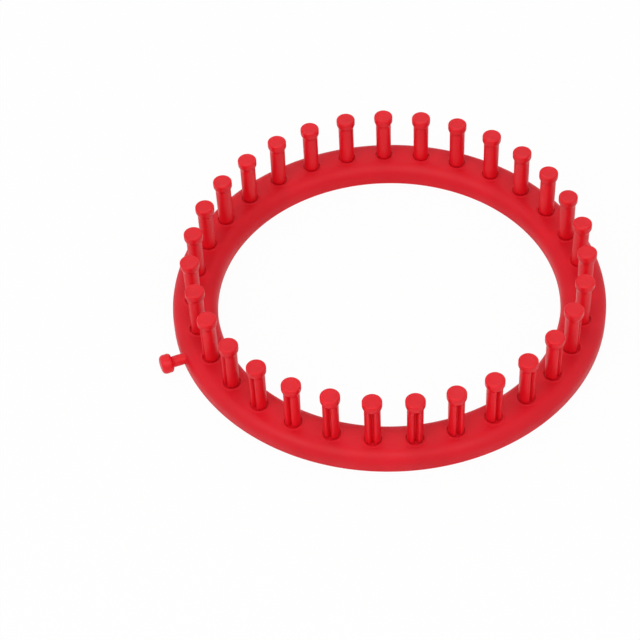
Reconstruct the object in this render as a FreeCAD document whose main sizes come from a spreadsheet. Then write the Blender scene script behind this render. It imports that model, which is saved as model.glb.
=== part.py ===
import FreeCAD, Part
import math
import os

import Sketcher

# Round knitting loom: a hollow moulded ring, upright pegs pressed into its sockets, and one side peg.
# Millimetres. The origin is on the ring's axis, in the plane it rests on; +Z is up and peg_01 is on +X.

SIZES = [
    ("peg_count", 31, "upright pegs, evenly spaced"),
    ("outer_radius", 95.0, "ring's axis to the outer wall"),
    ("ring_width", 19.7, "outer wall to inner wall"),
    ("ring_height", 9.4, "base plane to the flat top"),
    ("outer_round", 5.4, "shoulder between the outer wall and the top"),
    ("inner_round", 5.9, "shoulder between the inner wall and the top"),
    ("foot_bevel", 0.5, "bevel round both bottom edges"),
    ("side_wall", 2.0, "thickness of both side walls"),
    ("top_wall", 2.0, "thickness of the top plate"),
    ("rib_thickness", 1.4, "radial ribs that brace the sockets"),
    ("rib_clearance", 2.5, "base plane to the ribs"),
    ("peg_inset", 9.7, "outer wall to the pegs' axes"),
    ("spigot_width", 3.8, "square spigot that keeps a peg from turning"),
    ("spigot_length", 6.5, "flat top of the ring to the spigot's end"),
    ("spigot_fit", 0.02, "clearance all round a spigot in its socket"),
    ("spigot_end_gap", 0.3, "spigot's end to the floor of its socket"),
    ("socket_wall", 1.6, "wall of the square tube round each spigot"),
    ("socket_floor", 1.2, "floor under each spigot"),
    ("peg_radius", 3.4, "shaft of an upright peg"),
    ("peg_top", 33.5, "base plane to the top of the heads"),
    ("head_radius", 4.2, "head of an upright peg"),
    ("head_rim", 2.7, "height of the head's straight rim"),
    ("head_cone", 2.0, "height of the cone under the head"),
    ("groove_width", 2.4, "yarn groove down the outward side of a peg"),
    ("groove_depth", 2.2, "yarn groove, from the shaft's surface"),
    ("groove_stop", 0.2, "plain shaft between the groove and the cone"),
    ("anchor_angle", 180.5, "direction of the side peg, from +X, in degrees"),
    ("anchor_height", 4.4, "base plane to the side peg's axis"),
    ("anchor_reach", 10.5, "outer wall to the end of the side peg"),
    ("anchor_depth", 6.8, "outer wall to the inner end of the side peg"),
    ("anchor_radius", 2.45, "shaft of the side peg"),
    ("anchor_head_radius", 4.2, "head of the side peg"),
    ("anchor_head_rim", 2.9, "length of its head's straight rim"),
    ("anchor_head_bevel", 1.1, "bevel round the end of its head"),
    ("anchor_head_cone", 1.1, "length of the cone behind its head"),
    ("anchor_fit", 0.02, "radial clearance of the side peg in its socket"),
    ("anchor_socket_wall", 1.0, "wall round the side peg's socket"),
    ("anchor_socket_end", 1.2, "wall behind the side peg's inner end"),
]

INNER_RADIUS = "(Sizes.outer_radius - Sizes.ring_width)"
CEILING = "(Sizes.ring_height - Sizes.top_wall)"
# A bevel that touches the round which runs one wall thickness inside the shoulder.
OUTER_INSIDE_BEVEL = "(Sizes.outer_round - Sizes.side_wall) * (2 - sqrt(2))"
INNER_INSIDE_BEVEL = "(Sizes.inner_round - Sizes.side_wall) * (2 - sqrt(2))"
# Ribs and sockets are rooted in the middle of the walls they grow from.
INNER_ROOT = f"({INNER_RADIUS} + Sizes.side_wall / 2)"
OUTER_ROOT = "(Sizes.outer_radius - Sizes.side_wall / 2)"
TOP_ROOT = "(Sizes.ring_height - Sizes.top_wall / 2)"
PEG_AXIS = "(Sizes.outer_radius - Sizes.peg_inset)"
SPIGOT_END = "(Sizes.ring_height - Sizes.spigot_length)"
HALF_SPIGOT = "(Sizes.spigot_width / 2)"
HALF_BORE = f"({HALF_SPIGOT} + Sizes.spigot_fit)"
HALF_SOCKET = f"({HALF_BORE} + Sizes.socket_wall)"
BORE_END = f"({SPIGOT_END} - Sizes.spigot_end_gap)"
ANCHOR_AXIS = "Sizes.anchor_height"
ANCHOR_BORE = "(Sizes.anchor_radius + Sizes.anchor_fit)"
ANCHOR_SEAT = "(Sizes.outer_radius - Sizes.anchor_depth)"
# The lines that pegs turn about, each through two points of the outline's plane.
PEG_LINE = ((PEG_AXIS, "0"), (PEG_AXIS, "Sizes.peg_top"))
ANCHOR_LINE = (("0", ANCHOR_AXIS), ("Sizes.outer_radius", ANCHOR_AXIS))

# How a sketch numbers a line's two ends, its own origin, and the axis where each coordinate is 0.
LINE_ENDS = {"start": 1, "end": 2}
SKETCH_ORIGIN = (-1, 1)
ZERO_AXES = {"DistanceX": -2, "DistanceY": -1}
# Two lengths, in mm, or two volumes, in mm3, count as the same within these.
SAME_LENGTH = 1e-4
SAME_VOLUME = 1e-3

doc = FreeCAD.newDocument("KnittingLoom")
sizes = doc.addObject("Spreadsheet::Sheet", "Sizes")
for row, (alias, number, note) in enumerate(SIZES, start=1):
    sizes.set(f"A{row}", alias)
    sizes.set(f"B{row}", str(number))
    sizes.set(f"C{row}", note)
    sizes.setAlias(f"B{row}", alias)
doc.recompute()


def origin_feature(body, role):
    """One of the body's own base planes or axes."""
    return next(item for item in body.Origin.OriginFeatures if item.Role == role)


def hold(sketch, kind, geometry, point, expression):
    """Ties one coordinate of a point to an expression; a coordinate of 0 lies on the other axis."""
    if expression == "0":
        sketch.addConstraint(Sketcher.Constraint("PointOnObject", geometry, point, ZERO_AXES[kind]))
        return
    index = sketch.addConstraint(Sketcher.Constraint(kind, *SKETCH_ORIGIN, geometry, point, 1.0))
    sketch.setExpression(f"Constraints[{index}]", expression)


def loose_points(count):
    """Different points for a sketch's lines to start from; constraints then carry them to their places."""
    turns = [2 * math.pi * i / count for i in range(count)]
    return [FreeCAD.Vector(math.cos(turn), math.sin(turn), 0) for turn in turns]


def outline(body, name, corners, turn=None):
    """A closed outline in the plane of the ring's axis and +X, or turned from +X about the ring's axis."""
    sketch = body.newObject("Sketcher::SketchObject", name)
    sketch.AttachmentSupport = [(origin_feature(body, "XZ_Plane"), "")]
    sketch.MapMode = "FlatFace"
    if turn:
        sketch.AttachmentOffset = FreeCAD.Placement(
            FreeCAD.Vector(), FreeCAD.Rotation(FreeCAD.Vector(0, 1, 0), 1)
        )
        sketch.setExpression("AttachmentOffset.Rotation.Angle", turn)
    count = len(corners)
    spots = loose_points(count)
    start = LINE_ENDS["start"]
    end = LINE_ENDS["end"]
    for i in range(count):
        sketch.addGeometry(Part.LineSegment(spots[i], spots[(i + 1) % count]))
    for i, (across, up) in enumerate(corners):
        sketch.addConstraint(Sketcher.Constraint("Coincident", i, end, (i + 1) % count, start))
        hold(sketch, "DistanceX", i, start, across)
        hold(sketch, "DistanceY", i, start, up)
    return sketch


def turned(body, kind, name, corners, line=None, turn=None):
    """Turns an outline about the ring's axis, or about a line given by two points of the outline's plane."""
    sketch = outline(body, name + "Outline", corners, turn)
    axis = "V_Axis"
    if line:
        axis_line = sketch.addGeometry(Part.LineSegment(*loose_points(len(line))), True)
        for point, (across, up) in zip(LINE_ENDS.values(), line):
            hold(sketch, "DistanceX", axis_line, point, across)
            hold(sketch, "DistanceY", axis_line, point, up)
        axis = "Axis0"
    feature = body.newObject(kind, name)
    feature.Profile = sketch
    feature.ReferenceAxis = (sketch, [axis])
    feature.Angle = 360
    doc.recompute()
    return feature


def slab(body, kind, name, corners, thickness, turn=None):
    """Adds or cuts a flat slab, centred on its outline's plane."""
    sketch = outline(body, name + "Outline", corners, turn)
    feature = body.newObject(kind, name)
    feature.Profile = sketch
    feature.Midplane = True
    feature.setExpression("Length", thickness)
    doc.recompute()
    return feature


def box_corners(left, right, bottom, top):
    return [(left, bottom), (right, bottom), (right, top), (left, top)]


def rounded(body, name, base, radius, height, size):
    """Rounds the circular edge of that radius and height."""
    edges = [
        f"Edge{i}"
        for i, edge in enumerate(base.Shape.Edges, start=1)
        if isinstance(edge.Curve, Part.Circle)
        and math.isclose(edge.Curve.Radius, radius, abs_tol=SAME_LENGTH)
        and math.isclose(edge.Curve.Center.z, height, abs_tol=SAME_LENGTH)
    ]
    feature = body.newObject("PartDesign::Fillet", name)
    feature.Base = (base, edges)
    feature.setExpression("Radius", size)
    doc.recompute()
    return feature


def must_cut(feature, before):
    """A cut that misses the solid shows no error, so the volumes are compared."""
    if feature.Shape.Volume >= before.Shape.Volume - SAME_VOLUME:
        raise RuntimeError(f"{feature.Name} cuts nothing")


def make_ring():
    """The ring: a channel that is open below, with a braced socket for every peg."""
    body = doc.addObject("PartDesign::Body", "Ring")
    body.Label = "ring"
    section = [
        (f"{INNER_RADIUS} + Sizes.foot_bevel", "0"),
        ("Sizes.outer_radius - Sizes.foot_bevel", "0"),
        ("Sizes.outer_radius", "Sizes.foot_bevel"),
        ("Sizes.outer_radius", "Sizes.ring_height"),
        (INNER_RADIUS, "Sizes.ring_height"),
        (INNER_RADIUS, "Sizes.foot_bevel"),
    ]
    blank = turned(body, "PartDesign::Revolution", "Blank", section)
    inner_radius = sizes.outer_radius - sizes.ring_width
    shoulder = rounded(
        body, "OuterShoulder", blank, sizes.outer_radius, sizes.ring_height, "Sizes.outer_round"
    )
    shoulder = rounded(body, "InnerShoulder", shoulder, inner_radius, sizes.ring_height, "Sizes.inner_round")

    inner_wall = f"{INNER_RADIUS} + Sizes.side_wall"
    outer_wall = "Sizes.outer_radius - Sizes.side_wall"
    inner_corner = f"{inner_wall} + {INNER_INSIDE_BEVEL}"
    outer_corner = f"{outer_wall} - {OUTER_INSIDE_BEVEL}"
    inner_corner_height = f"{CEILING} - {INNER_INSIDE_BEVEL}"
    outer_corner_height = f"{CEILING} - {OUTER_INSIDE_BEVEL}"
    channel = [
        (inner_wall, "0"),
        (outer_wall, "0"),
        (outer_wall, outer_corner_height),
        (outer_corner, CEILING),
        (inner_corner, CEILING),
        (inner_wall, inner_corner_height),
    ]
    hollow = turned(body, "PartDesign::Groove", "Channel", channel)
    must_cut(hollow, shoulder)

    rib = slab(
        body,
        "PartDesign::Pad",
        "Rib",
        [
            (INNER_ROOT, "Sizes.rib_clearance"),
            (OUTER_ROOT, "Sizes.rib_clearance"),
            (OUTER_ROOT, outer_corner_height),
            (outer_corner, TOP_ROOT),
            (inner_corner, TOP_ROOT),
            (INNER_ROOT, inner_corner_height),
        ],
        "Sizes.rib_thickness",
    )
    tube = slab(
        body,
        "PartDesign::Pad",
        "SocketTube",
        box_corners(
            f"{PEG_AXIS} - {HALF_SOCKET}",
            f"{PEG_AXIS} + {HALF_SOCKET}",
            f"{BORE_END} - Sizes.socket_floor",
            TOP_ROOT,
        ),
        f"2 * {HALF_SOCKET}",
    )
    bore = slab(
        body,
        "PartDesign::Pocket",
        "SocketBore",
        box_corners(
            f"{PEG_AXIS} - {HALF_BORE}",
            f"{PEG_AXIS} + {HALF_BORE}",
            BORE_END,
            "Sizes.ring_height + Sizes.top_wall",
        ),
        f"2 * {HALF_BORE}",
    )
    must_cut(bore, tube)
    sockets = body.newObject("PartDesign::PolarPattern", "Sockets")
    sockets.Originals = [rib, tube, bore]
    sockets.Axis = (origin_feature(body, "Z_Axis"), [""])
    sockets.Angle = 360
    sockets.setExpression("Occurrences", "Sizes.peg_count")
    body.Tip = sockets
    doc.recompute()

    half_width = f"({ANCHOR_BORE} + Sizes.anchor_socket_wall)"
    socket_back = f"{ANCHOR_SEAT} - Sizes.anchor_socket_end"
    socket_bottom = f"{ANCHOR_AXIS} - {half_width}"
    slab(
        body,
        "PartDesign::Pad",
        "AnchorSocket",
        [
            (socket_back, socket_bottom),
            (OUTER_ROOT, socket_bottom),
            (OUTER_ROOT, outer_corner_height),
            (outer_corner, TOP_ROOT),
            (socket_back, TOP_ROOT),
        ],
        f"2 * {half_width}",
        turn="Sizes.anchor_angle",
    )
    before = body.Tip
    anchor_bore = turned(
        body,
        "PartDesign::Groove",
        "AnchorBore",
        box_corners(
            ANCHOR_SEAT,
            "Sizes.outer_radius + Sizes.side_wall",
            ANCHOR_AXIS,
            f"{ANCHOR_AXIS} + {ANCHOR_BORE}",
        ),
        line=ANCHOR_LINE,
        turn="Sizes.anchor_angle",
    )
    must_cut(anchor_bore, before)
    return body


def make_peg(number):
    """An upright peg, drawn on +X and turned to its place. Its groove faces away from the ring's axis."""
    body = doc.addObject("PartDesign::Body", f"Peg{number:02d}")
    body.Label = f"peg_{number:02d}"
    shaft = f"{PEG_AXIS} + Sizes.peg_radius"
    head = f"{PEG_AXIS} + Sizes.head_radius"
    rim_bottom = "Sizes.peg_top - Sizes.head_rim"
    cone_bottom = f"{rim_bottom} - Sizes.head_cone"
    solid = turned(
        body,
        "PartDesign::Revolution",
        f"Peg{number:02d}Solid",
        [
            (PEG_AXIS, "Sizes.ring_height"),
            (shaft, "Sizes.ring_height"),
            (shaft, cone_bottom),
            (head, rim_bottom),
            (head, "Sizes.peg_top"),
            (PEG_AXIS, "Sizes.peg_top"),
        ],
        line=PEG_LINE,
    )
    groove = slab(
        body,
        "PartDesign::Pocket",
        f"Peg{number:02d}Groove",
        box_corners(
            f"{shaft} - Sizes.groove_depth",
            f"{shaft} + Sizes.groove_depth",
            "Sizes.ring_height - Sizes.groove_depth",
            f"{cone_bottom} - Sizes.groove_stop",
        ),
        "Sizes.groove_width",
    )
    must_cut(groove, solid)
    slab(
        body,
        "PartDesign::Pad",
        f"Peg{number:02d}Spigot",
        box_corners(
            f"{PEG_AXIS} - {HALF_SPIGOT}", f"{PEG_AXIS} + {HALF_SPIGOT}", SPIGOT_END, "Sizes.ring_height"
        ),
        "Sizes.spigot_width",
    )
    body.Placement = FreeCAD.Placement(FreeCAD.Vector(), FreeCAD.Rotation(FreeCAD.Vector(0, 0, 1), 0))
    body.setExpression("Placement.Rotation.Angle", f"360 * {number - 1} / Sizes.peg_count")
    return body


def make_anchor_peg():
    """The side peg that holds the first end of the yarn, drawn on +X and turned to its place."""
    body = doc.addObject("PartDesign::Body", "AnchorPeg")
    body.Label = "anchor_peg"
    shaft = f"{ANCHOR_AXIS} + Sizes.anchor_radius"
    head = f"{ANCHOR_AXIS} + Sizes.anchor_head_radius"
    end = "(Sizes.outer_radius + Sizes.anchor_reach)"
    rim_back = f"{end} - Sizes.anchor_head_bevel - Sizes.anchor_head_rim"
    turned(
        body,
        "PartDesign::Revolution",
        "AnchorPegSolid",
        [
            (ANCHOR_SEAT, ANCHOR_AXIS),
            (ANCHOR_SEAT, shaft),
            (f"{rim_back} - Sizes.anchor_head_cone", shaft),
            (rim_back, head),
            (f"{end} - Sizes.anchor_head_bevel", head),
            (end, f"{head} - Sizes.anchor_head_bevel"),
            (end, ANCHOR_AXIS),
        ],
        line=ANCHOR_LINE,
    )
    body.Placement = FreeCAD.Placement(FreeCAD.Vector(), FreeCAD.Rotation(FreeCAD.Vector(0, 0, 1), 0))
    body.setExpression("Placement.Rotation.Angle", "Sizes.anchor_angle")
    return body


parts = [make_ring()]
parts += [make_peg(number) for number in range(1, int(sizes.peg_count) + 1)]
parts.append(make_anchor_peg())
doc.recompute()

for item in doc.Objects:
    if "Invalid" in item.State or "Error" in item.State:
        raise RuntimeError(f"{item.Name} failed: {item.State}")
for part in parts:
    if part.Shape.isNull() or not part.Shape.isValid() or len(part.Shape.Solids) != 1:
        raise RuntimeError(f"{part.Label} is not one valid solid")

os.makedirs("parts", exist_ok=True)
for part in parts:
    part.Shape.exportStep(os.path.join("parts", part.Label + ".step"))
    print(part.Label, round(part.Shape.Volume, 1), part.Shape.BoundBox)
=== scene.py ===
import math
import random

import bmesh
import bpy
from mathutils import Matrix, Vector


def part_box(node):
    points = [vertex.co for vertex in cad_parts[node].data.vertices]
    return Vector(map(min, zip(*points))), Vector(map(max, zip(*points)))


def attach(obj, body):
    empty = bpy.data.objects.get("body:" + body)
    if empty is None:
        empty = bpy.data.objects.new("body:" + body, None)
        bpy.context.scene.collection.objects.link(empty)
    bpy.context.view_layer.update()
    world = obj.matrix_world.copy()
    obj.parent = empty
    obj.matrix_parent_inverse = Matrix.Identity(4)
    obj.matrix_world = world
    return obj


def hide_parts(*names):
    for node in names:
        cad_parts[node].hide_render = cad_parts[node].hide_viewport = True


# Round knitting loom in red plastic, on a pale table under soft light. Metres, in the frame's own axes.

MM = 0.001
BODY = "loom"
PEG_COUNT = 31
SECTOR = 2 * math.pi / PEG_COUNT

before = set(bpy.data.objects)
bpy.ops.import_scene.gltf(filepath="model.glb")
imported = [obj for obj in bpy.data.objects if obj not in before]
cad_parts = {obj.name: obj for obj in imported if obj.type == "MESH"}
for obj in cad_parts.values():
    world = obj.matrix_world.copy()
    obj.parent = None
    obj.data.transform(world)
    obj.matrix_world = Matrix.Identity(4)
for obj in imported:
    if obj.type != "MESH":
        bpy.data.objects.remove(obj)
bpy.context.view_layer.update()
_, ring_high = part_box("ring")
peg_low, peg_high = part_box("peg_01")

# Sizes read from the frame. The small steps keep the round meshes inside the CAD's box.
OUTER_RADIUS = ring_high.x - 0.01 * MM
RING_HEIGHT = ring_high.z
PEG_CIRCLE = (peg_low.x + peg_high.x) / 2
PEG_TOP = peg_high.z - 0.05 * MM
HEAD_RADIUS = (peg_high.x - peg_low.x) / 2
SPIGOT_END = peg_low.z

# The ring's section.
INNER_RADIUS = OUTER_RADIUS - 19.7 * MM
OUTER_ROUND = 5.4 * MM
INNER_ROUND = 5.9 * MM
SHOULDER_CELLS = 10
WALL = 2.0 * MM
CEILING = RING_HEIGHT - WALL
RIM_ROUND = 0.5 * MM
RIM_CELLS = 3
WALL_ROUND = 0.25 * MM
WALL_CELLS = 2

# The square patches over and under each socket, and the cells between them.
PATCH_HALF = 5.4 * MM
PATCH_CELLS = 8
GAP_CELLS = 4
BLEND_CELLS = 4

# A socket: a shallow round recess in a low swollen lip, a square bore, and a square tube below.
LIP_RADIUS = 4.8 * MM
LIP_HEIGHT = 0.25 * MM
LIP_SLOPE = ((0, 0), (0.4, 0.5), (0.75, 0.95))  # shares of the way in and of the height
RECESS_RADIUS = 3.7 * MM
RECESS_DEPTH = 0.45 * MM
RECESS_EDGE = 0.3 * MM
EDGE_CELLS = 4
BORE_HALF = 1.92 * MM
BORE_END = SPIGOT_END - 0.3 * MM
BORE_RIM = BORE_HALF * 1.5
TUBE_HALF = 3.52 * MM
TUBE_END = BORE_END - 1.2 * MM
SMALL_ROUND = 0.3 * MM
RIB_THICKNESS = 1.4 * MM
RIB_BOTTOM = 2.5 * MM
RIB_TOP = RING_HEIGHT - WALL / 2
BEVEL_CELLS = 2

# An upright peg: a rounded foot, a shaft that widens a little, then a smooth flare into the head's rim.
FOOT_RADIUS = 2.95 * MM
SHAFT_RADIUS = 3.35 * MM
NECK_RADIUS = 3.44 * MM
PEG_FOOT = RING_HEIGHT - RECESS_DEPTH
FOOT_TOP = RING_HEIGHT + 1.6 * MM
FLARE_BOTTOM = PEG_TOP - 5.15 * MM
RIM_BOTTOM = PEG_TOP - 2.6 * MM
FOOT_CELLS = 5
SHAFT_CELLS = 4
FLARE_CELLS = 4
NECK_CELLS = 3
ROUND_CELLS = 22
SPIGOT_HALF = 1.9 * MM
PEG_LEAN = math.radians(0.5)
LEAN_SEED = 31

# Its head: a rounded edge, then a shallow dish, as shares of its depth and places past its radius.
HEAD_ROUND = 0.75 * MM
HEAD_CELLS = 7
DISH_DEPTH = 0.1 * MM
DISH_RADIUS = 3.1 * MM
DISH_STEPS = ((0, 0.15 * MM), (0.5, 0), (1, -0.2 * MM), (1, -DISH_RADIUS * 2 / 3))

# Its groove: leaning walls with soft lips, a round floor, and an upper end that fades out.
GROOVE_HALF = 1.2 * MM
GROOVE_FLOOR_HALF = 0.25 * MM
GROOVE_FLOOR_CELLS = 5
GROOVE_DEPTH = 2.2 * MM
GROOVE_LIP_ROUND = 0.55 * MM
GROOVE_LIP_CELLS = 4
GROOVE_TOP = PEG_TOP - 3.5 * MM
GROOVE_END_ROUND = 0.3 * MM
GROOVE_END_STEPS = ((0.45, 0.9), (0.1, 0.55), (0, 0))  # shares of the drop and of the groove

# The side peg.
ANCHOR_ANGLE = math.radians(180.5)
ANCHOR_HEIGHT = 4.3 * MM
ANCHOR_SEAT = OUTER_RADIUS - 6.8 * MM
ANCHOR_SHAFT_START = OUTER_RADIUS - 1.0 * MM
ANCHOR_END = OUTER_RADIUS + 10.5 * MM
ANCHOR_HEAD_START = ANCHOR_END - 5.1 * MM
ANCHOR_RADIUS = 2.45 * MM
ANCHOR_HEAD_RADIUS = 4.2 * MM
ANCHOR_BACK_ROUND = 1.4 * MM
ANCHOR_END_ROUND = 1.9 * MM
ANCHOR_NECK_START = ANCHOR_HEAD_START - 0.3 * MM
ANCHOR_NECK_END = ANCHOR_HEAD_START - 0.05 * MM
ANCHOR_NECK_STEP = 0.08 * MM
ANCHOR_SHAFT_CELLS = 4
ANCHOR_ROUND_CELLS = 8
ANCHOR_CELLS = 48
ANCHOR_BLOCK_HALF = 3.47 * MM
ANCHOR_BLOCK_BACK = ANCHOR_SEAT - 1.2 * MM

SMOOTH_ANGLE = math.radians(40)


def arc(centre_x, centre_y, radius, start, end, cells):
    """Points along an arc, in degrees, both ends included."""
    turns = [math.radians(start + (end - start) * i / cells) for i in range(cells + 1)]
    return [(centre_x + radius * math.cos(turn), centre_y + radius * math.sin(turn)) for turn in turns]


def spread(start, end, cells):
    """Evenly spaced numbers, both ends included."""
    return [start + (end - start) * i / cells for i in range(cells + 1)]


def join_loops(bm, loops):
    """Quads between each closed loop of vertices and the next."""
    for first, second in zip(loops, loops[1:]):
        count = len(first)
        for i in range(count):
            k = (i + 1) % count
            bm.faces.new((first[i], first[k], second[k], second[i]))


def cap(bm, loop):
    """Closes a loop with triangles round its middle."""
    middle = sum((v.co for v in loop), Vector()) / len(loop)
    centre = bm.verts.new(middle)
    for i, vert in enumerate(loop):
        bm.faces.new((vert, loop[(i + 1) % len(loop)], centre))


def finish_mesh(bm, name, material, nodes):
    """Makes the object, shades it, and lets it stand for its CAD nodes."""
    bmesh.ops.recalc_face_normals(bm, faces=bm.faces)
    mesh = bpy.data.meshes.new(name)
    bm.to_mesh(mesh)
    bm.free()
    mesh.shade_smooth()
    mesh.set_sharp_from_angle(angle=SMOOTH_ANGLE)
    mesh.materials.append(material)
    piece = bpy.data.objects.new(name, mesh)
    bpy.context.scene.collection.objects.link(piece)
    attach(piece, BODY)
    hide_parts(*nodes)


# Ring


def height_below(radius, depth):
    """Height, at a distance from the axis, of a surface that runs a depth below the ring's upper one."""
    outer_start = OUTER_RADIUS - OUTER_ROUND
    inner_start = INNER_RADIUS + INNER_ROUND
    if radius > outer_start:
        past, bend = radius - outer_start, OUTER_ROUND - depth
    elif radius < inner_start:
        past, bend = inner_start - radius, INNER_ROUND - depth
    else:
        return RING_HEIGHT - depth
    return RING_HEIGHT - depth - bend + math.sqrt(bend**2 - past**2)


def top_height(radius):
    return height_below(radius, 0)


def ceiling_height(radius):
    return height_below(radius, WALL)


def ring_section():
    """The closed section as (radius, height), with the first rows of its upper and lower socket patches."""
    far = PEG_CIRCLE + PATCH_HALF
    near = PEG_CIRCLE - PATCH_HALF
    outer = (OUTER_RADIUS - OUTER_ROUND, RING_HEIGHT - OUTER_ROUND)
    inner = (INNER_RADIUS + INNER_ROUND, RING_HEIGHT - INNER_ROUND)

    def turn_at(place, centre, bend):
        return math.degrees(math.acos((place - centre[0]) / bend))

    section = arc(OUTER_RADIUS - RIM_ROUND, RIM_ROUND, RIM_ROUND, -90, 0, RIM_CELLS)
    section += arc(*outer, OUTER_ROUND, 0, turn_at(far, outer, OUTER_ROUND), SHOULDER_CELLS)
    top_row = len(section) - 1
    section += [(r, top_height(r)) for r in spread(far, near, PATCH_CELLS)[1:]]
    section += arc(*inner, INNER_ROUND, turn_at(near, inner, INNER_ROUND), 180, SHOULDER_CELLS)[1:]
    section += arc(INNER_RADIUS + RIM_ROUND, RIM_ROUND, RIM_ROUND, 180, 270, RIM_CELLS)

    cells = SHOULDER_CELLS // 2
    section += arc(INNER_RADIUS + WALL - WALL_ROUND, WALL_ROUND, WALL_ROUND, -90, 0, WALL_CELLS)
    bend = INNER_ROUND - WALL
    section += arc(*inner, bend, 180, turn_at(near, inner, bend), cells)
    ceiling_row = len(section) - 1
    section += [(r, ceiling_height(r)) for r in spread(near, far, PATCH_CELLS)[1:]]
    bend = OUTER_ROUND - WALL
    section += arc(*outer, bend, turn_at(far, outer, bend), 0, cells)[1:]
    section += arc(OUTER_RADIUS - WALL + WALL_ROUND, WALL_ROUND, WALL_ROUND, 180, 270, WALL_CELLS)
    return section, top_row, ceiling_row


def sector_columns():
    """The angles of one sector's columns: across its socket patch, then across the gap to the next."""
    half_turn = PATCH_HALF / PEG_CIRCLE
    offsets = spread(-half_turn, half_turn, PATCH_CELLS)
    return offsets + spread(half_turn, SECTOR - half_turn, GAP_CELLS)[1:-1]


def turned_grid(bm, section, columns, is_open):
    """Quads over a section turned round the axis, but for the open cells. Gives the vertices by place."""
    grid = {}

    def vertex(column, row):
        column %= len(columns)
        row %= len(section)
        if (column, row) not in grid:
            radius, height = section[row]
            turn = columns[column]
            grid[column, row] = bm.verts.new((radius * math.cos(turn), radius * math.sin(turn), height))
        return grid[column, row]

    for column in range(len(columns)):
        for row in range(len(section)):
            if not is_open(column, row):
                corners = ((column, row), (column + 1, row), (column + 1, row + 1), (column, row + 1))
                bm.faces.new([vertex(*corner) for corner in corners])
    return grid


def patch_places():
    """The steps round a square patch: column, row, and each as a share from -1 to 1."""
    last = PATCH_CELLS
    steps = [(i, 0) for i in range(last)] + [(last, i) for i in range(last)]
    steps += [(last - i, last) for i in range(last)] + [(0, last - i) for i in range(last)]
    return [(column, row, 2 * column / last - 1, 1 - 2 * row / last) for column, row in steps]


def socket_loop(bm, turn, places, size, square, height):
    """A loop round a peg's axis, square or round, at a height or on a surface given as a function."""
    loop = []
    for _, _, across, out in places:
        share = 1 if square else math.hypot(across, out)
        x = PEG_CIRCLE + size * out / share
        y = size * across / share
        z = height(math.hypot(x, y)) if callable(height) else height
        loop.append(bm.verts.new(turn @ Vector((x, y, z))))
    return loop


def fill_patch(bm, turn, places, rim, steps, height):
    """Fills a patch: from its rim inwards along a surface to the first step, then step by step to a cap."""
    loops = [socket_loop(bm, turn, places, *step) for step in steps]
    blended = [rim]
    for share in spread(0, 1, BLEND_CELLS)[1:-1]:
        points = [a.co.lerp(b.co, share) for a, b in zip(rim, loops[0])]
        blended.append([bm.verts.new((p.x, p.y, height(math.hypot(p.x, p.y)))) for p in points])
    join_loops(bm, blended + loops)
    cap(bm, loops[-1])


def socket_steps():
    """A socket from its lip down to the bore's end, each step as size, squareness and height."""

    def raised(lift):
        return lambda radius: top_height(radius) + lift

    floor = RING_HEIGHT - RECESS_DEPTH
    edge = RECESS_RADIUS + RECESS_EDGE
    steps = [
        (LIP_RADIUS - (LIP_RADIUS - edge) * inwards, False, raised(LIP_HEIGHT * share))
        for inwards, share in LIP_SLOPE
    ]
    rounded = arc(edge, LIP_HEIGHT - RECESS_EDGE, RECESS_EDGE, 90, 180, EDGE_CELLS)
    steps += [(radius, False, raised(lift)) for radius, lift in rounded]
    return steps + [
        (RECESS_RADIUS, False, floor),
        (BORE_RIM, False, floor),
        (BORE_HALF, True, floor),
        (BORE_HALF, True, BORE_END),
    ]


def tube_steps():
    """The tube round a bore, from the channel's ceiling down."""
    return [
        (TUBE_HALF + SMALL_ROUND, True, ceiling_height),
        (TUBE_HALF, True, CEILING - SMALL_ROUND),
        (TUBE_HALF, True, TUBE_END + SMALL_ROUND),
        (TUBE_HALF - SMALL_ROUND, True, TUBE_END),
    ]


def add_plate(bm, turn, outline, half_thickness, bevel):
    """A plate along a radius, with its outline as (radius, height) and lightly rounded edges."""
    plate = bmesh.new()
    sides = [[plate.verts.new((r, y, z)) for r, z in outline] for y in (-half_thickness, half_thickness)]
    join_loops(plate, sides)
    for side in sides:
        plate.faces.new(side)
    bmesh.ops.recalc_face_normals(plate, faces=plate.faces)
    edges = plate.edges[:]
    bmesh.ops.bevel(plate, geom=edges, offset=bevel, segments=BEVEL_CELLS, profile=0.5, affect="EDGES")
    plate.transform(turn)
    mesh = bpy.data.meshes.new("plate")
    plate.to_mesh(mesh)
    plate.free()
    bm.from_mesh(mesh)
    bpy.data.meshes.remove(mesh)


def rib_outline():
    """A rib across the channel, sunk a little into both walls and the ceiling."""
    return [
        (INNER_RADIUS + WALL / 2, RIB_BOTTOM),
        (OUTER_RADIUS - WALL / 2, RIB_BOTTOM),
        (OUTER_RADIUS - WALL / 2, RING_HEIGHT - OUTER_ROUND),
        (OUTER_RADIUS - OUTER_ROUND, RIB_TOP),
        (INNER_RADIUS + INNER_ROUND, RIB_TOP),
        (INNER_RADIUS + WALL / 2, RING_HEIGHT - INNER_ROUND),
    ]


def block_outline():
    """The block that holds the side peg."""
    bottom = ANCHOR_HEIGHT - ANCHOR_BLOCK_HALF
    return [
        (ANCHOR_BLOCK_BACK, bottom),
        (OUTER_RADIUS - WALL / 2, bottom),
        (OUTER_RADIUS - WALL / 2, RING_HEIGHT - OUTER_ROUND),
        (OUTER_RADIUS - OUTER_ROUND, RIB_TOP),
        (ANCHOR_BLOCK_BACK, RIB_TOP),
    ]


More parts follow.
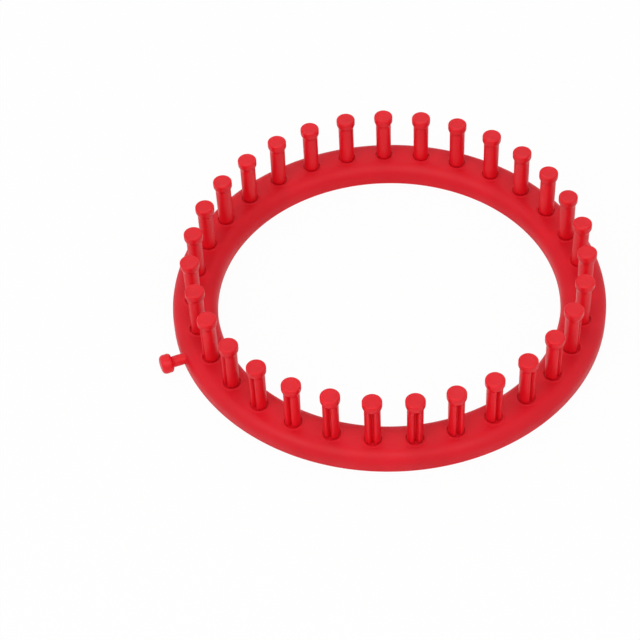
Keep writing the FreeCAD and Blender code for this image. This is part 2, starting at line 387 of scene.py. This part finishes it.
def make_ring(material):
    """The ring: a hollow turned section, a socket for every peg, and ribs in the channel."""
    bm = bmesh.new()
    section, top_row, ceiling_row = ring_section()
    offsets = sector_columns()
    columns = [n * SECTOR + offset for n in range(PEG_COUNT) for offset in offsets]
    patch_rows = {first + i for first in (top_row, ceiling_row) for i in range(PATCH_CELLS)}

    def is_open(column, row):
        return column % len(offsets) < PATCH_CELLS and row in patch_rows

    grid = turned_grid(bm, section, columns, is_open)
    places = patch_places()
    mirrored = [(column, row, across, -out) for column, row, across, out in places]

    def rim(n, first_row):
        return [grid[n * len(offsets) + column, first_row + row] for column, row, _, _ in places]

    for n in range(PEG_COUNT):
        turn = Matrix.Rotation(n * SECTOR, 4, "Z")
        fill_patch(bm, turn, places, rim(n, top_row), socket_steps(), top_height)
        fill_patch(bm, turn, mirrored, rim(n, ceiling_row), tube_steps(), ceiling_height)
        add_plate(bm, turn, rib_outline(), RIB_THICKNESS / 2, SMALL_ROUND)
    turn = Matrix.Rotation(ANCHOR_ANGLE, 4, "Z")
    add_plate(bm, turn, block_outline(), ANCHOR_BLOCK_HALF, SMALL_ROUND)
    finish_mesh(bm, "ring_moulding", material, ["ring"])


# Pegs


def peg_radius(height):
    """Radius of a peg below its head's top edge."""
    foot = max(0, (FOOT_TOP - height) / (FOOT_TOP - PEG_FOOT))
    taper = min(1, (height - PEG_FOOT) / (FLARE_BOTTOM - PEG_FOOT))
    flare = min(1, max(0, (height - FLARE_BOTTOM) / (RIM_BOTTOM - FLARE_BOTTOM)))
    smooth = flare * flare * (3 - 2 * flare)
    shaft = SHAFT_RADIUS + (NECK_RADIUS - SHAFT_RADIUS) * taper
    return shaft + (HEAD_RADIUS - NECK_RADIUS) * smooth - (SHAFT_RADIUS - FOOT_RADIUS) * foot**2


def half_groove(lip_turn):
    """Half of the groove's outline, from the middle of its floor to just before its lip's outer end."""
    corner = (math.sqrt(SHAFT_RADIUS**2 - GROOVE_HALF**2), GROOVE_HALF)
    floor_middle = SHAFT_RADIUS - GROOVE_DEPTH + GROOVE_FLOOR_HALF
    slope = (GROOVE_HALF - GROOVE_FLOOR_HALF) / (corner[0] - floor_middle)
    lip_start = (corner[0] - GROOVE_LIP_ROUND, GROOVE_HALF - slope * GROOVE_LIP_ROUND)
    lip_end = (SHAFT_RADIUS * math.cos(lip_turn), SHAFT_RADIUS * math.sin(lip_turn))
    outline = arc(floor_middle, 0, GROOVE_FLOOR_HALF, 180, 90, GROOVE_FLOOR_CELLS)
    points = (lip_start, corner, lip_end)
    for t in spread(0, 1, GROOVE_LIP_CELLS)[:-1]:
        shares = ((1 - t) ** 2, 2 * t * (1 - t), t**2)
        outline.append(tuple(sum(w * p[axis] for w, p in zip(shares, points)) for axis in (0, 1)))
    return outline


def shaft_outlines():
    """Two outlines of a shaft with matching points: plain, and with a round-bottomed groove on +X."""
    lip_turn = math.asin((GROOVE_HALF + GROOVE_LIP_ROUND) / SHAFT_RADIUS)
    grooved = half_groove(lip_turn)
    turns = [lip_turn * i / len(grooved) for i in range(len(grooved))]
    rest = spread(lip_turn, math.pi, ROUND_CELLS)
    grooved += [(SHAFT_RADIUS * math.cos(turn), SHAFT_RADIUS * math.sin(turn)) for turn in rest]
    plain = [(SHAFT_RADIUS * math.cos(turn), SHAFT_RADIUS * math.sin(turn)) for turn in turns + rest]

    def whole(half):
        return half + [(x, -y) for x, y in reversed(half[1:-1])]

    return whole(plain), whole(grooved)


def peg_levels():
    """Each loop of a peg from its foot up: height, radius, and how much of the groove it has."""
    groove_end = GROOVE_TOP - GROOVE_END_ROUND
    heights = [(z, 1) for z in spread(PEG_FOOT, FOOT_TOP, FOOT_CELLS)]
    heights += [(z, 1) for z in spread(FOOT_TOP, FLARE_BOTTOM, SHAFT_CELLS)[1:]]
    heights += [(z, 1) for z in spread(FLARE_BOTTOM, groove_end, FLARE_CELLS)[1:]]
    heights += [(GROOVE_TOP - GROOVE_END_ROUND * drop, share) for drop, share in GROOVE_END_STEPS]
    heights += [(z, 0) for z in spread(GROOVE_TOP, RIM_BOTTOM, NECK_CELLS)[1:]]
    levels = [(z, peg_radius(z), share) for z, share in heights]
    edge = arc(HEAD_RADIUS - HEAD_ROUND, PEG_TOP - HEAD_ROUND, HEAD_ROUND, 0, 90, HEAD_CELLS)
    levels += [(z, r, 0) for r, z in edge]
    levels += [(PEG_TOP - DISH_DEPTH * share, DISH_RADIUS + past, 0) for share, past in DISH_STEPS]
    return levels


def make_peg(number, material, lean):
    """An upright peg with its groove outwards, its head and its square spigot."""
    bm = bmesh.new()
    plain, grooved = shaft_outlines()
    loops = []
    for height, radius, share in peg_levels():
        scale = radius / SHAFT_RADIUS
        points = [(a + (c - a) * share, b + (d - b) * share) for (a, b), (c, d) in zip(plain, grooved)]
        loops.append([bm.verts.new((scale * x, scale * y, height)) for x, y in points])
    join_loops(bm, loops)
    cap(bm, loops[0])
    cap(bm, loops[-1])
    spigot = [
        (-SPIGOT_HALF, SPIGOT_END),
        (SPIGOT_HALF, SPIGOT_END),
        (SPIGOT_HALF, PEG_FOOT),
        (-SPIGOT_HALF, PEG_FOOT),
    ]
    add_plate(bm, Matrix.Identity(4), spigot, SPIGOT_HALF, SMALL_ROUND / 2)

    pivot = Matrix.Translation((0, 0, PEG_FOOT))
    tilt = pivot @ Matrix.Rotation(lean[0], 4, "X") @ Matrix.Rotation(lean[1], 4, "Y")
    turn = Matrix.Rotation(SECTOR * (number - 1), 4, "Z")
    bm.transform(turn @ Matrix.Translation((PEG_CIRCLE, 0, 0)) @ (tilt @ pivot.inverted()))
    node = f"peg_{number:02d}"
    finish_mesh(bm, node + "_moulding", material, [node])


def anchor_section():
    """The side peg as (place along its axis, radius), from its seat in the block to its outer end."""
    back = (ANCHOR_HEAD_START + ANCHOR_BACK_ROUND, ANCHOR_HEAD_RADIUS - ANCHOR_BACK_ROUND)
    front = (ANCHOR_END - ANCHOR_END_ROUND, ANCHOR_HEAD_RADIUS - ANCHOR_END_ROUND)
    section = [(ANCHOR_SEAT, ANCHOR_RADIUS)]
    shaft = spread(ANCHOR_SHAFT_START, ANCHOR_NECK_START, ANCHOR_SHAFT_CELLS)
    section += [(place, ANCHOR_RADIUS) for place in shaft]
    section += [(ANCHOR_NECK_END, ANCHOR_RADIUS + ANCHOR_NECK_STEP), (ANCHOR_HEAD_START, back[1])]
    section += arc(*back, ANCHOR_BACK_ROUND, 180, 90, ANCHOR_ROUND_CELLS)[1:]
    section += arc(*front, ANCHOR_END_ROUND, 90, 0, ANCHOR_ROUND_CELLS)
    return section + [(ANCHOR_END, front[1] / 2)]


def make_anchor(material):
    """The side peg: a short plain shaft with a thick head that is rounded at both ends."""
    bm = bmesh.new()
    loops = [
        [
            bm.verts.new((place, radius * math.cos(turn), ANCHOR_HEIGHT + radius * math.sin(turn)))
            for turn in spread(0, 2 * math.pi, ANCHOR_CELLS)[:-1]
        ]
        for place, radius in anchor_section()
    ]
    join_loops(bm, loops)
    cap(bm, loops[0])
    cap(bm, loops[-1])
    bm.transform(Matrix.Rotation(ANCHOR_ANGLE, 4, "Z"))
    finish_mesh(bm, "anchor_peg_moulding", material, ["anchor_peg"])


# Materials

# Light goes a little way into the plastic, so its dents and grooves look deep red.
TRANSLUCENCY = 0.5
RED_REACH = (1.0, 0.1, 0.1)
LIGHT_DEPTH = 1.2 * MM
PLASTIC_IOR = 1.5

# Each noise as scale, detail and distortion, and the span of its values that is used.
FLOW_NOISE = (28, 3, 1.2)
GLOSS_NOISE = (60, 4, 0)
SKIN_NOISE = (2600, 2, 0)
SWELL_NOISE = (160, 1, 0)
NOISE_SPAN = (0.3, 0.7)

FLOW_DARK = 0.93
FLOW_PALE = 1.05
GLOSS_LOW = 0.88
GLOSS_HIGH = 1.15
# Edges come out paler and pinker: partly rubbed wear, partly a painted highlight along rounded edges.
EDGE_SPAN = (0.52, 0.62)
EDGE_WEAR_AND_HIGHLIGHT = 0.35
WORN_AND_HIGHLIT_TINT = (1.12, 2.2, 2.0)
SKIN_DEPTH = 0.02 * MM
SWELL_DEPTH = 0.04 * MM
SWELL_STRENGTH = 0.4


def add_noise(tree, scale, detail, distortion):
    """A noise that is fixed to the object."""
    place = tree.nodes.new("ShaderNodeTexCoord")
    texture = tree.nodes.new("ShaderNodeTexNoise")
    texture.inputs["Scale"].default_value = scale
    texture.inputs["Detail"].default_value = detail
    texture.inputs["Distortion"].default_value = distortion
    tree.links.new(place.outputs["Object"], texture.inputs["Vector"])
    return texture.outputs["Fac"]


def add_range(tree, source, span, low, high):
    """Turns a span of a value into the span from low to high."""
    node = tree.nodes.new("ShaderNodeMapRange")
    node.inputs["From Min"].default_value, node.inputs["From Max"].default_value = span
    node.inputs["To Min"].default_value = low
    node.inputs["To Max"].default_value = high
    tree.links.new(source, node.inputs["Value"])
    return node.outputs["Result"]


def add_bump(tree, source, strength, distance, below=None):
    """A bump, on top of another's normal if one is given."""
    node = tree.nodes.new("ShaderNodeBump")
    node.inputs["Strength"].default_value = strength
    node.inputs["Distance"].default_value = distance
    tree.links.new(source, node.inputs["Height"])
    if below:
        tree.links.new(below, node.inputs["Normal"])
    return node.outputs["Normal"]


def flow_marks(tree, colour):
    """The colour with slight flow marks."""
    node = tree.nodes.new("ShaderNodeMix")
    node.data_type = "RGBA"
    node.inputs["A"].default_value = (*[part * FLOW_DARK for part in colour], 1)
    node.inputs["B"].default_value = (*[min(1, part * FLOW_PALE) for part in colour], 1)
    tree.links.new(add_range(tree, add_noise(tree, *FLOW_NOISE), NOISE_SPAN, 0, 1), node.inputs["Factor"])
    return node.outputs["Result"]


def worn_and_highlit_edges(tree, colour, source):
    """A source of colour, a little paler along edges: partly rubbed wear, partly a painted highlight where
    rounded edges catch the light.
    """
    geometry = tree.nodes.new("ShaderNodeNewGeometry")
    node = tree.nodes.new("ShaderNodeMix")
    node.data_type = "RGBA"
    node.inputs["B"].default_value = (*[min(1, part * tint) for part, tint in zip(colour, WORN_AND_HIGHLIT_TINT)], 1)
    edge = add_range(tree, geometry.outputs["Pointiness"], EDGE_SPAN, 0, EDGE_WEAR_AND_HIGHLIGHT)
    tree.links.new(edge, node.inputs["Factor"])
    tree.links.new(source, node.inputs["A"])
    return node.outputs["Result"]


def red_plastic(name, colour, gloss, roughness, grain):
    """Moulded plastic: slight flow marks in the colour, a satin gloss that varies, and a fine skin."""
    material = bpy.data.materials.new(name)
    material.use_nodes = True
    tree = material.node_tree
    shader = tree.nodes["Principled BSDF"]
    shader.inputs["IOR"].default_value = PLASTIC_IOR
    shader.inputs["Specular IOR Level"].default_value = gloss
    shader.inputs["Subsurface Weight"].default_value = TRANSLUCENCY
    shader.inputs["Subsurface Radius"].default_value = RED_REACH
    shader.inputs["Subsurface Scale"].default_value = LIGHT_DEPTH

    # Base colour: flow marks, then paler edges that are partly wear and partly a painted highlight.
    tree.links.new(worn_and_highlit_edges(tree, colour, flow_marks(tree, colour)), shader.inputs["Base Color"])
    patches = add_noise(tree, *GLOSS_NOISE)
    uneven = add_range(tree, patches, NOISE_SPAN, roughness * GLOSS_LOW, roughness * GLOSS_HIGH)
    tree.links.new(uneven, shader.inputs["Roughness"])
    skin = add_bump(tree, add_noise(tree, *SKIN_NOISE), grain, SKIN_DEPTH)
    swell = add_bump(tree, add_noise(tree, *SWELL_NOISE), SWELL_STRENGTH, SWELL_DEPTH, skin)
    tree.links.new(swell, shader.inputs["Normal"])
    return material


# Table, light and camera

VIEW_TURN = math.radians(-18.42)
VIEW_PITCH = math.radians(47.63)
VIEW_ROLL = math.radians(-2.86)
VIEW_DISTANCE = 0.90639
VIEW_SHIFT = (0.03033, 0.00779)
VIEW_LENS = 115.56
VIEW_START = 0.05
SENSOR = 36.0

TABLE_HALF = 4.0
TABLE_DROP = 0.02 * MM
TABLE_GREY = 0.9
TABLE_ROUGHNESS = 0.9
TABLE_GLOW = 0.95
WORLD_LIGHT = 0.42
SEEN_WHITE = 1.0

# Each lamp: its place as seen from the camera's side (right, away, up), its width, and its power in watts.
LAMPS = {
    "front_left": ((-1.65, -1.65, 2.34), 1.95, 31.0),
    "front_right": ((1.2, -2.01, 2.34), 1.95, 20.5),
    "top_front": ((0.0, -1.3, 3.05), 0.9, 10.5),
    "left": ((-2.62, 0.0, 1.95), 1.8, 5.6),
    "right": ((2.62, 0.0, 1.95), 1.8, 1.0),
    "back": ((0.0, 1.35, 3.0), 1.8, 11.0),
}


def view_axes():
    """The camera's right, up and forward directions in the frame."""
    turn = Matrix.Rotation(VIEW_TURN, 3, "Z")
    forward = Vector((0, math.cos(VIEW_PITCH), -math.sin(VIEW_PITCH)))
    level = Vector((1, 0, 0))
    upright = level.cross(forward)
    right = math.cos(VIEW_ROLL) * level + math.sin(VIEW_ROLL) * upright
    up = -math.sin(VIEW_ROLL) * level + math.cos(VIEW_ROLL) * upright
    return turn @ right, turn @ up, turn @ forward


def make_camera():
    """The camera, standing where the photograph was taken from."""
    right, up, forward = view_axes()
    data = bpy.data.cameras.new("camera")
    data.lens = VIEW_LENS
    data.sensor_width = SENSOR
    data.clip_start = VIEW_START
    camera = bpy.data.objects.new("camera", data)
    place = -(VIEW_SHIFT[0] * right + VIEW_SHIFT[1] * up + VIEW_DISTANCE * forward)
    rotation = Matrix((right, up, -forward)).transposed()
    camera.matrix_world = Matrix.Translation(place) @ rotation.to_4x4()
    bpy.context.scene.collection.objects.link(camera)
    bpy.context.scene.camera = camera


def seen_directly(tree):
    """1 where the camera, a gloss or glass looks straight at the material, else 0."""
    path = tree.nodes.new("ShaderNodeLightPath")
    total = path.outputs["Is Camera Ray"]
    for kind in ("Is Glossy Ray", "Is Transmission Ray"):
        add = tree.nodes.new("ShaderNodeMath")
        add.operation = "MAXIMUM"
        tree.links.new(total, add.inputs[0])
        tree.links.new(path.outputs[kind], add.inputs[1])
        total = add.outputs[0]
    return total


def table_material():
    """A pale table that the camera sees as nearly white, with the loom's shadow on it."""
    material = bpy.data.materials.new("pale_table")
    material.use_nodes = True
    tree = material.node_tree
    shader = tree.nodes["Principled BSDF"]
    shader.inputs["Base Color"].default_value = (TABLE_GREY, TABLE_GREY, TABLE_GREY, 1)
    shader.inputs["Roughness"].default_value = TABLE_ROUGHNESS
    glow = tree.nodes.new("ShaderNodeEmission")
    share = tree.nodes.new("ShaderNodeMath")
    share.operation = "MULTIPLY"
    share.inputs[1].default_value = TABLE_GLOW
    tree.links.new(seen_directly(tree), share.inputs[0])
    mix = tree.nodes.new("ShaderNodeMixShader")
    tree.links.new(share.outputs[0], mix.inputs["Fac"])
    tree.links.new(shader.outputs["BSDF"], mix.inputs[1])
    tree.links.new(glow.outputs["Emission"], mix.inputs[2])
    tree.links.new(mix.outputs["Shader"], tree.nodes["Material Output"].inputs["Surface"])
    return material


def make_floor():
    """The table, a hair below the loom."""
    half = TABLE_HALF
    mesh = bpy.data.meshes.new("table")
    corners = [(-half, -half, 0), (half, -half, 0), (half, half, 0), (-half, half, 0)]
    mesh.from_pydata(corners, [], [(0, 1, 2, 3)])
    mesh.materials.append(table_material())
    table = bpy.data.objects.new("table", mesh)
    table.location.z = -TABLE_DROP
    bpy.context.scene.collection.objects.link(table)


def make_world():
    """An even pale surrounding that is seen as white and lights the loom less than that."""
    world = bpy.data.worlds.new("studio")
    bpy.context.scene.world = world
    world.use_nodes = True
    tree = world.node_tree
    background = tree.nodes["Background"]
    background.inputs["Color"].default_value = (1, 1, 1, 1)
    level = add_range(tree, seen_directly(tree), (0, 1), WORLD_LIGHT, SEEN_WHITE)
    tree.links.new(level, background.inputs["Strength"])


def make_lamp(name, place, size, power):
    """A soft round lamp aimed at the loom."""
    data = bpy.data.lights.new(name, "AREA")
    data.shape = "DISK"
    data.size = size
    data.energy = power
    lamp = bpy.data.objects.new(name, data)
    spot = Matrix.Rotation(VIEW_TURN, 3, "Z") @ Vector(place)
    lamp.matrix_world = Matrix.Translation(spot) @ spot.to_track_quat("Z", "Y").to_matrix().to_4x4()
    bpy.context.scene.collection.objects.link(lamp)


def make_stage():
    """The table, the surroundings, the lamps and the camera."""
    make_floor()
    make_world()
    for name, (place, size, power) in LAMPS.items():
        make_lamp(name, place, size, power)
    make_camera()


ring_red = red_plastic("ring_red", colour=(0.7, 0.005, 0.017), gloss=0.25, roughness=0.52, grain=0.25)
peg_red = red_plastic("peg_red", colour=(0.772, 0.005, 0.015), gloss=0.29, roughness=0.41, grain=0.12)
make_ring(ring_red)
draw = random.Random(LEAN_SEED)
for number in range(1, PEG_COUNT + 1):
    lean = (draw.uniform(-PEG_LEAN, PEG_LEAN), draw.uniform(-PEG_LEAN, PEG_LEAN))
    make_peg(number, peg_red, lean)
make_anchor(peg_red)
make_stage()
bpy.context.scene.view_settings.view_transform = "Standard"
